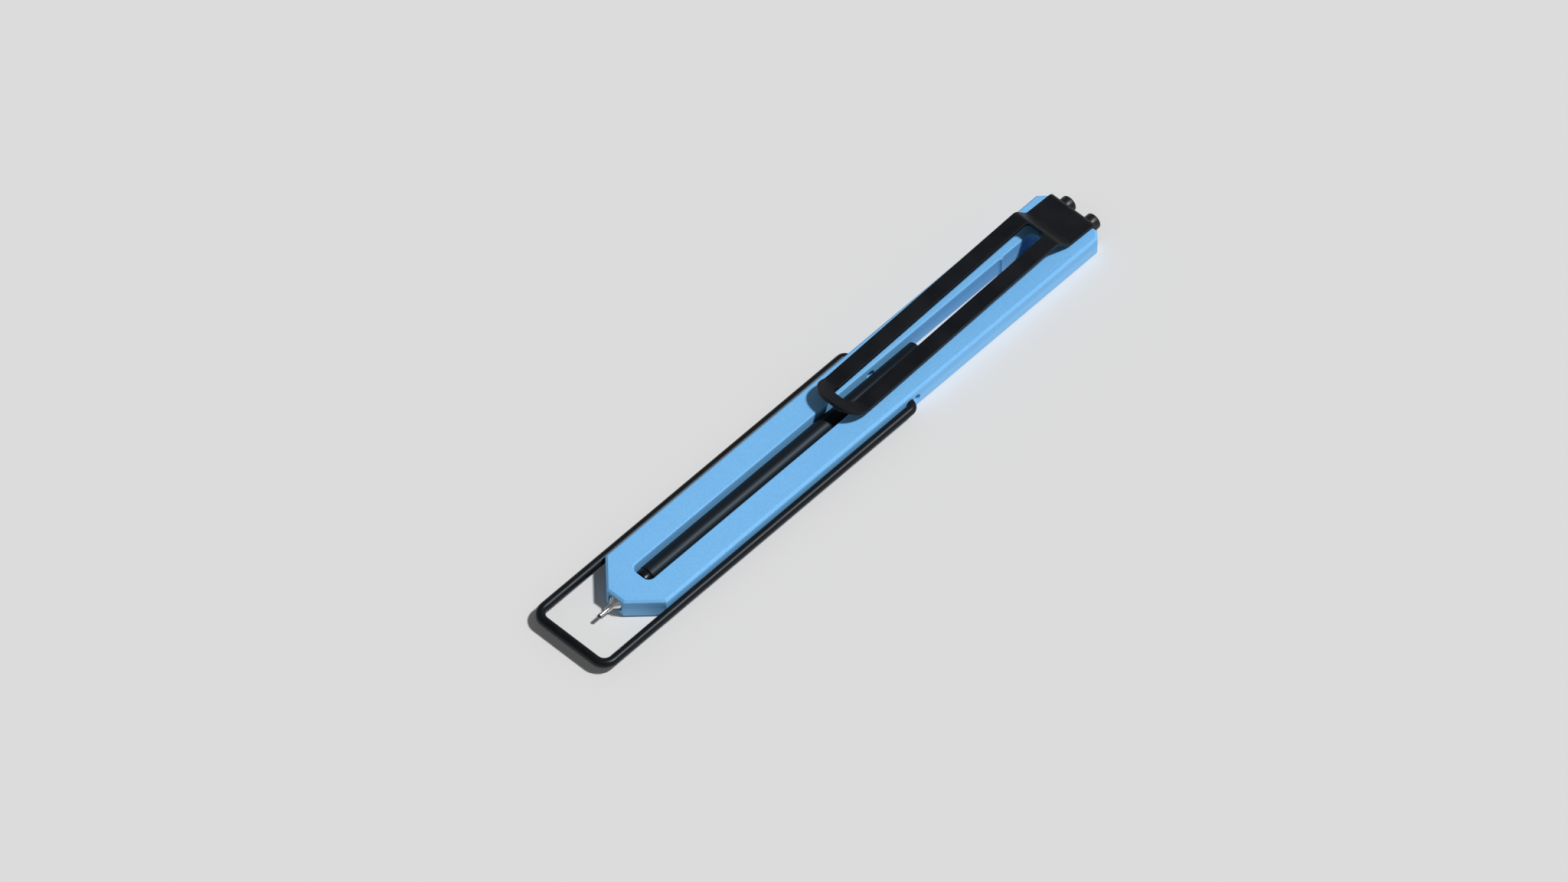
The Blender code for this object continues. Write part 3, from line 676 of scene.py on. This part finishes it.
def black_oxide_finish():
    """Black oxide on steel: near black with an oily half gloss, a little worn to brown in patches."""
    made, tree, shader = plain_finish("black_oxide", specular=0.3)
    grain = placed(tree, mottle, Grain_Scale=2600, Cloud_Scale=700)
    patch = ranged(tree, grain.outputs["Cloud"], 0.45, 0.75, 0, 1)
    tint = blend_colour(tree, patch, OXIDE_BLACK, OXIDE_WORN)
    tree.links.new(tint, shader.inputs["Base Color"])
    tree.links.new(ranged(tree, grain.outputs["Grain"], 0.3, 0.7, 0.34, 0.46), shader.inputs["Roughness"])
    bumped(tree, shader, grain.outputs["Grain"], 0.1, 0.00002)
    return made


black_oxide = black_oxide_finish()
SCREW_SIDES = 96
for name, side in (("left", 1), ("right", -1)):
    across = side * SCREW_HALF_SPACING
    screw = lathe(f"screw_{name}", screw_profile(SCREW_SIDES), SCREW_SIDES, across, mid_height)
    dress(screw, black_oxide, "pen_body", "screws", f"clip_screw_{name}")

# The clamp screw: a small socket set screw deep in the right rail, which holds the refill still.
# It shows only as a dark end down its hole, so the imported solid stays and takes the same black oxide.
clamp_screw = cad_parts["refill_set_screw"]
clamp_screw.data.materials.clear()
clamp_screw.data.materials.append(black_oxide)

# The bail: one length of spring wire, bent at four corners and sprung into the cross bore by its two ends.
# Its coating is black and smooth, with a soft shine along the wire and rubbed spots in patches.
WIRE_RADIUS = 0.00125
WIRE_SIDES = 40
WIRE_END_ROUND = 0.0003
WIRE_END_DEPTH = 0.0055
BAIL_CORNER_RADIUS = 0.0030
ELBOW_RADIUS = 0.0015
WIRE_BLACK = (0.0030, 0.0036, 0.0048)
WIRE_RUBBED = (0.0050, 0.0058, 0.0072)
WIRE_DUST = (0.05, 0.05, 0.052)
bail_low, bail_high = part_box("bail_wire")
leg_y = bail_high.y - WIRE_RADIUS
crossbar_x = bail_low.x + WIRE_RADIUS
wire_end_y = half_bar - WIRE_END_DEPTH


def wire_surface():
    """The wire's skin: a circle carried along the bent path in the middle plane, rounded at both ends.

    Ring: path + r (cos a) sideways + r (sin a) up, where sideways is the path's level normal.
    """
    corners = [
        (PIVOT_X, -wire_end_y, 0),
        (PIVOT_X, -leg_y, ELBOW_RADIUS),
        (crossbar_x, -leg_y, BAIL_CORNER_RADIUS),
        (crossbar_x, leg_y, BAIL_CORNER_RADIUS),
        (PIVOT_X, leg_y, ELBOW_RADIUS),
        (PIVOT_X, wire_end_y, 0),
    ]
    ease = WIRE_END_ROUND * (1 - np.cos(np.linspace(0, np.pi / 2, 5)))
    run = leg_y - wire_end_y - ELBOW_RADIUS
    ends = np.concatenate([ease / run, [1.0]])
    path = bent_path(corners, [ends, 60, 16, 60, 1 - ends[::-1]])
    step = np.diff(path, axis=0)
    step = step / np.linalg.norm(step, axis=1, keepdims=True)
    mean = np.concatenate([step, step[-1:]]) + np.concatenate([step[:1], step])
    mean = mean / np.linalg.norm(mean, axis=1, keepdims=True)
    sideways = np.column_stack([-mean[:, 1], mean[:, 0], np.zeros(len(mean))])
    radius = np.full(len(path), WIRE_RADIUS)
    shrink = WIRE_END_ROUND - np.sqrt(WIRE_END_ROUND**2 - (WIRE_END_ROUND - ease) ** 2)
    radius[: len(ease)] -= shrink
    radius[-len(ease):] -= shrink[::-1]
    angle = np.linspace(0, 2 * np.pi, WIRE_SIDES, endpoint=False)
    centre = np.column_stack([path, np.full(len(path), mid_height)])
    ring = np.cos(angle)[None, :, None] * sideways[:, None]
    ring = ring + np.sin(angle)[None, :, None] * np.array([0.0, 0.0, 1.0])
    return centre[:, None] + radius[:, None, None] * ring


def coated_wire_finish():
    """Smooth black coating on drawn wire: a soft shine, fine grain and rubbed spots."""
    made, tree, shader = plain_finish("black_wire_coating", specular=0.28, gleam_tint=(0.8, 0.9, 1))
    grain = placed(tree, mottle, Grain_Scale=4200, Cloud_Scale=260)
    patch = ranged(tree, grain.outputs["Cloud"], 0.5, 0.75, 0, 1)
    tint = blend_colour(tree, patch, WIRE_BLACK, WIRE_RUBBED)
    dust = placed(tree, specks, Cells=600, Share=0.01, Size=0.1)
    dusty = blend_colour(tree, dust.outputs["Speck"], tint, WIRE_DUST)
    tree.links.new(dusty, shader.inputs["Base Color"])
    tree.links.new(ranged(tree, grain.outputs["Cloud"], 0.35, 0.7, 0.36, 0.44), shader.inputs["Roughness"])
    bumped(tree, shader, grain.outputs["Grain"], 0.35, 0.00004)
    return made


dress(skin("bail", wire_surface()), coated_wire_finish(), "bail", "bail", "bail_wire", smooth=40)

# The refill: an extruded plastic tube of ink with a moulded front plug, pushed into the nose bore.
# The tube is satin black right through, with a painted blue reflection of the slot walls; the plug is
# glossier, with a flange that meets the slot's end.
tube_low, tube_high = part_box("refill_tube")
plug_low, plug_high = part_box("tip_holder")
TUBE_RADIUS = 0.0025
TUBE_BORE = 0.0020
TUBE_ROUND = 0.00015
LATHE_SIDES = 72
PLASTIC_DUST = (0.05, 0.052, 0.056)


def ring_lathe(name, profile, sides):
    """A turned ring along X, whose profile of (x, r) points closes on itself and stays off the axis."""
    profile = np.array(profile)
    angle = np.linspace(0, 2 * np.pi, sides, endpoint=False)
    x = np.broadcast_to(profile[:, :1], (len(profile), sides))
    y = profile[:, 1:] * np.cos(angle)
    z = mid_height + profile[:, 1:] * np.sin(angle)
    return skin(name, np.stack([x, y, z], -1), ends_meet=True)


def stretched_mark_group():
    """Streaks or turning marks: noise on a place whose X and whose Y and Z are scaled apart."""
    group, given, out = new_group("stretched_marks", [("Along", 1), ("Across", 1), ("Scale", 1000)],
                                  ["Mark"])
    place = group.nodes.new("ShaderNodeTexCoord")
    factors = group.nodes.new("ShaderNodeCombineXYZ")
    group.links.new(given.outputs["Along"], factors.inputs["X"])
    for axis in ("Y", "Z"):
        group.links.new(given.outputs["Across"], factors.inputs[axis])
    stretch = group.nodes.new("ShaderNodeVectorMath")
    stretch.operation = "MULTIPLY"
    group.links.new(place.outputs["Object"], stretch.inputs[0])
    group.links.new(factors.outputs["Vector"], stretch.inputs[1])
    noise = group.nodes.new("ShaderNodeTexNoise")
    group.links.new(stretch.outputs["Vector"], noise.inputs["Vector"])
    group.links.new(given.outputs["Scale"], noise.inputs["Scale"])
    group.links.new(noise.outputs["Fac"], out.inputs["Mark"])
    return group


stretched_marks = stretched_mark_group()


def streaked_finish(name, dark, pale, roughness, specular):
    """Plastic, ink or carbide: near even in colour, with faint streaks along X and a little dust."""
    made, tree, shader = plain_finish(name, specular=specular, gleam_tint=(0.7, 0.85, 1))
    streak = placed(tree, stretched_marks, Along=0.02, Across=1, Scale=2600).outputs["Mark"]
    tint = blend_colour(tree, ranged(tree, streak, 0.35, 0.65, 0, 1), dark, pale)
    dust = placed(tree, specks, Cells=700, Share=0.008, Size=0.09)
    dusty = blend_colour(tree, dust.outputs["Speck"], tint, PLASTIC_DUST)
    tree.links.new(dusty, shader.inputs["Base Color"])
    tree.links.new(ranged(tree, streak, 0.35, 0.65, *roughness), shader.inputs["Roughness"])
    bumped(tree, shader, streak, 0.05, 0.00002)
    return made


def tube_profile():
    """The tube's wall, from the bore's rear end out over the rim, forward outside and in at the front."""
    profile = [(tube_high.x, TUBE_BORE)]
    profile += quarter_round(tube_high.x - TUBE_ROUND, TUBE_RADIUS - TUBE_ROUND, TUBE_ROUND, 0, 90)
    profile += quarter_round(tube_low.x + TUBE_ROUND, TUBE_RADIUS - TUBE_ROUND, TUBE_ROUND, 90, 180)
    profile += [(tube_low.x, TUBE_BORE)]
    return profile


# Near black tinted blue: the tint is a painted reflection of the blue slot walls; the dark and pale pair is
# real streaking.
TUBE_DARK_PAINTED_BLUE = (0.0040, 0.0070, 0.0105)
TUBE_PALE_PAINTED_BLUE = (0.0055, 0.0088, 0.0128)
tube_black = streaked_finish("tube_black", TUBE_DARK_PAINTED_BLUE, TUBE_PALE_PAINTED_BLUE, roughness=(0.42, 0.50), specular=0.27)
dress(ring_lathe("tube", tube_profile(), LATHE_SIDES), tube_black, "refill", "tube", "refill_tube")

FLANGE_RADIUS = 0.00235
FLANGE_LENGTH = 0.0019
flange_end = tube_low.x - SEAT
flange_start = flange_end - FLANGE_LENGTH
PLUG_RADIUS = 0.0019
BARB_DEPTH = 0.0003
BARB_LENGTH = 0.0004
PLUG_CHANNEL = 0.00055
SOCKET_RADIUS = 0.0011
SOCKET_DEPTH = 0.0041
NOSE_SHANK_RADIUS = 0.0021
PLUG_ROUND = 0.0001
PLUG_DARK = (0.0040, 0.0044, 0.0052)
PLUG_PALE = (0.0055, 0.0060, 0.0070)


def plug_profile():
    """The plug's wall: channel, barb inside the tube, flange, nose shank and the metal tip's socket."""
    socket_end = plug_low.x + SOCKET_DEPTH
    profile = [(plug_high.x, PLUG_CHANNEL), (plug_high.x, PLUG_RADIUS - BARB_DEPTH)]
    profile += [(plug_high.x - BARB_LENGTH, PLUG_RADIUS), (flange_end, PLUG_RADIUS)]
    profile += quarter_round(flange_end - PLUG_ROUND, FLANGE_RADIUS - PLUG_ROUND, PLUG_ROUND, 0, 90, 4)
    profile += quarter_round(flange_start + PLUG_ROUND, FLANGE_RADIUS - PLUG_ROUND, PLUG_ROUND, 90, 180, 4)
    profile += [(flange_start, NOSE_SHANK_RADIUS)]
    profile += quarter_round(plug_low.x + PLUG_ROUND, NOSE_SHANK_RADIUS - PLUG_ROUND, PLUG_ROUND,
                             90, 180, 4)
    profile += [(plug_low.x, SOCKET_RADIUS), (socket_end, SOCKET_RADIUS), (socket_end, PLUG_CHANNEL)]
    return profile


plug_black = streaked_finish("plug_black", PLUG_DARK, PLUG_PALE, roughness=(0.20, 0.30), specular=0.22)
dress(ring_lathe("front_plug", plug_profile(), LATHE_SIDES), plug_black, "refill", "plug", "tip_holder")

# The writing tip: a cone and collar turned from plated brass, a drawn steel needle and its crimped-in ball.
# The cone and needle are bright with fine turning marks; ink wets the needle's rim and the ball black.
cone_low, cone_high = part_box("tip_cone")
needle_low, needle_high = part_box("needle")
ball_low, ball_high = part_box("writing_ball")
CONE_RADIUS = 0.00198
CONE_LENGTH = 0.0016
COLLAR_LENGTH = 0.0018
COLLAR_RADIUS = 0.00075
COLLAR_END_RADIUS = 0.00065
CONE_ROUND = 0.0001
NECK_RUN = 0.00008
NECK_RISE = 0.00006
STEM_RADIUS = 0.0010
NEEDLE_RADIUS = 0.00045
NEEDLE_THROAT = 0.0002
NEEDLE_GAP = 0.00006
NEEDLE_RIM = 0.00005
NEEDLE_SHOULDER = 0.0001
SHOULDER_DROP = 0.00002
BALL_RADIUS = 0.00035
BALL_ROOM = 0.00003
PLATED = (0.86, 0.85, 0.83)
DRAWN_STEEL = (0.80, 0.80, 0.80)
MARK_SHADE = 0.86
CARBIDE_DARK = (0.006, 0.006, 0.007)
CARBIDE_PALE = (0.012, 0.012, 0.014)
INK_WET = (0.004, 0.004, 0.005)
WET_FULL = 0.0003
WET_END = 0.0006


def cone_profile():
    """The metal tip's wall: stem, cone face, collar with a rounded shoulder, and the needle's bore."""
    bore_radius = NEEDLE_RADIUS + NEEDLE_GAP
    base = cone_low.x + COLLAR_LENGTH + CONE_LENGTH
    neck = cone_low.x + COLLAR_LENGTH
    profile = [(cone_high.x, bore_radius), (cone_high.x, STEM_RADIUS), (base, STEM_RADIUS)]
    profile += quarter_round(base - CONE_ROUND, CONE_RADIUS - CONE_ROUND, CONE_ROUND, 0, 120, 5)
    profile += [(neck + NECK_RUN, COLLAR_RADIUS + NECK_RISE), (neck, COLLAR_RADIUS)]
    profile += quarter_round(cone_low.x + CONE_ROUND, COLLAR_END_RADIUS - CONE_ROUND, CONE_ROUND,
                             90, 180, 5)
    profile += [(cone_low.x, bore_radius)]
    return profile


def needle_profile():
    """The needle's wall: the outside drawn in to the rim, and a cup behind it that holds the ball."""
    centre = (ball_low.x + ball_high.x) / 2
    cup = BALL_RADIUS + BALL_ROOM
    rim = math.sqrt(BALL_RADIUS**2 - (centre - needle_low.x) ** 2) + BALL_ROOM
    shoulder = centre - NEEDLE_SHOULDER
    profile = [(needle_high.x, NEEDLE_THROAT), (needle_high.x, NEEDLE_RADIUS), (centre, NEEDLE_RADIUS)]
    profile += [(shoulder, NEEDLE_RADIUS - SHOULDER_DROP), (needle_low.x, rim + NEEDLE_RIM)]
    profile += [(needle_low.x, rim), (shoulder, cup - SHOULDER_DROP), (centre, cup)]
    profile += [(centre + cup, cup), (centre + cup, NEEDLE_THROAT)]
    return profile


def bright_metal_finish(name, tint, roughness, wet_from=None, wet_to=None):
    """Bright metal with rings of fine turning marks along X, and ink where it is wet."""
    made, tree, shader = plain_finish(name, metallic=1.0)
    marks = placed(tree, stretched_marks, Along=1, Across=0.04, Scale=14000).outputs["Mark"]
    shade = tuple(channel * MARK_SHADE for channel in tint)
    colour = blend_colour(tree, ranged(tree, marks, 0.35, 0.65, 0, 1), tint, shade)
    gloss = ranged(tree, marks, 0.35, 0.65, *roughness)
    if wet_from is not None:
        place = tree.nodes.new("ShaderNodeTexCoord")
        split = tree.nodes.new("ShaderNodeSeparateXYZ")
        tree.links.new(place.outputs["Object"], split.inputs["Vector"])
        wet = ranged(tree, split.outputs["X"], wet_from, wet_to, 1, 0)
        colour = blend_colour(tree, wet, colour, INK_WET)
        tree.links.new(ranged(tree, wet, 0, 1, 1, 0), shader.inputs["Metallic"])
    tree.links.new(colour, shader.inputs["Base Color"])
    tree.links.new(gloss, shader.inputs["Roughness"])
    bumped(tree, shader, marks, 0.05, 0.00001)
    return made


def ball_surface():
    """The ball's skin: rings of radius R sin(a) at R cos(a) along X, from pole to pole."""
    centre = (ball_low.x + ball_high.x) / 2
    angle = np.linspace(0, np.pi, 33)
    return list(zip(centre + BALL_RADIUS * np.cos(angle), np.clip(BALL_RADIUS * np.sin(angle), 0, None)))


plated = bright_metal_finish("plated_tip", PLATED, (0.13, 0.22))
dress(ring_lathe("cone", cone_profile(), LATHE_SIDES), plated, "refill", "tip", "tip_cone")
drawn = bright_metal_finish("drawn_needle", DRAWN_STEEL, (0.14, 0.22), needle_low.x + WET_FULL,
                            needle_low.x + WET_END)
dress(ring_lathe("needle_tube", needle_profile(), LATHE_SIDES), drawn, "refill", "needle", "needle")
carbide = streaked_finish("inked_carbide", CARBIDE_DARK, CARBIDE_PALE, roughness=(0.10, 0.18), specular=0.6)
dress(lathe("ball", ball_surface(), LATHE_SIDES, 0.0, mid_height), carbide, "ball", "ball", "writing_ball")

# The ink and its follower: shut away in the black tube, seen only down its open rear end.
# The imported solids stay: black gel ink, and a clear grease plug that follows it as it is used.
INK_DARK = (0.003, 0.003, 0.005)
INK_PALE = (0.005, 0.005, 0.007)
GREASE_DARK = (0.42, 0.39, 0.26)
GREASE_PALE = (0.50, 0.47, 0.33)
ink_black = streaked_finish("ink_black", INK_DARK, INK_PALE, roughness=(0.06, 0.10), specular=0.5)
grease = streaked_finish("follower_grease", GREASE_DARK, GREASE_PALE, roughness=(0.20, 0.28), specular=0.5)
for node, finish, slot_name in (("ink_column", ink_black, "ink"), ("ink_follower", grease, "follower")):
    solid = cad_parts[node]
    solid.data.materials.clear()
    solid.data.materials.append(finish)

# The table: a pale grey sheet without marks, wide enough to fill the view from any side.
# It is only the stage, and takes the pen's shadow.
STAGE_REACH = 3.0
FLOOR_GREY = (0.716, 0.716, 0.716)
corners = [(-1, -1), (1, -1), (1, 1), (-1, 1)]
floor_mesh = bpy.data.meshes.new("table")
floor_mesh.from_pydata([(x * STAGE_REACH, y * STAGE_REACH, 0) for x, y in corners], [], [(0, 1, 2, 3)])
floor = bpy.data.objects.new("table", floor_mesh)
bpy.context.scene.collection.objects.link(floor)
paper, paper_tree, paper_shader = plain_finish("pale_table", specular=0.0)
paper_shader.inputs["Base Color"].default_value = (*FLOOR_GREY, 1)
paper_shader.inputs["Roughness"].default_value = 0.9
floor_mesh.materials.append(paper)

# The light: one soft lamp high over the pen's right side towards its rear, and a dim room with pale walls.
# Together they light a level white surface to white, so colours come out as they are written.
KEY_WAY = Vector((0.33, -0.48, 1.0))
KEY_ANGLE = math.radians(6)
WALL_LEVEL = 0.35
CEILING_LEVEL = 0.08
ROOM_LEVEL = WALL_LEVEL / 3 + CEILING_LEVEL * 2 / 3
key_lamp = bpy.data.lights.new("key", "SUN")
key_lamp.angle = KEY_ANGLE
key_lamp.energy = (1 - ROOM_LEVEL) * math.pi / KEY_WAY.normalized().z
key = bpy.data.objects.new("key", key_lamp)
key.rotation_mode = "QUATERNION"
key.rotation_quaternion = KEY_WAY.to_track_quat("Z", "Y")
bpy.context.scene.collection.objects.link(key)

room = bpy.data.worlds.new("room")
room.use_nodes = True
back_light = room.node_tree.nodes["Background"]
back_light.inputs["Color"].default_value = (1, 1, 1, 1)
sky_way = room.node_tree.nodes.new("ShaderNodeTexCoord")
sky_split = room.node_tree.nodes.new("ShaderNodeSeparateXYZ")
room.node_tree.links.new(sky_way.outputs["Generated"], sky_split.inputs["Vector"])
height_level = ranged(room.node_tree, sky_split.outputs["Z"], 0, 1, WALL_LEVEL, CEILING_LEVEL)
room.node_tree.links.new(height_level, back_light.inputs["Strength"])
bpy.context.scene.world = room
bpy.context.scene.view_settings.view_transform = "Standard"

# The camera: a long lens above the pen's nose, off its right side, with the pen running up to the right.
# AIM is a point of the bar's middle plane, and lies at AIM_PIXEL in the photograph.
PHOTO_WIDTH = 2048
PHOTO_HEIGHT = 1152
CAMERA_AZIMUTH = math.radians(-46.7826)
CAMERA_ELEVATION = math.radians(51.9264)
CAMERA_DISTANCE = 2.7984629
PIXELS_PER_METRE = 5469.8
AIM = Vector((nose + 0.080, 0, 0.003))
AIM_PIXEL = (1105.66, 534.18)
SENSOR = 36.0

cos_e, sin_e = math.cos(CAMERA_ELEVATION), math.sin(CAMERA_ELEVATION)
cos_a, sin_a = math.cos(CAMERA_AZIMUTH), math.sin(CAMERA_AZIMUTH)
back = Vector((sin_a * cos_e, -cos_a * cos_e, sin_e))
right = Vector((cos_a, sin_a, 0))
up = back.cross(right)
lens = bpy.data.cameras.new("camera")
lens.sensor_width = SENSOR
lens.lens = PIXELS_PER_METRE * CAMERA_DISTANCE / PHOTO_WIDTH * SENSOR
lens.clip_end = 100
camera = bpy.data.objects.new("camera", lens)
camera.rotation_mode = "QUATERNION"
camera.rotation_quaternion = back.to_track_quat("Z", "Y")
offset_right = (AIM_PIXEL[0] - PHOTO_WIDTH / 2) / PIXELS_PER_METRE
offset_up = (PHOTO_HEIGHT / 2 - AIM_PIXEL[1]) / PIXELS_PER_METRE
camera.location = AIM + back * CAMERA_DISTANCE - right * offset_right - up * offset_up
bpy.context.scene.collection.objects.link(camera)
bpy.context.scene.camera = camera
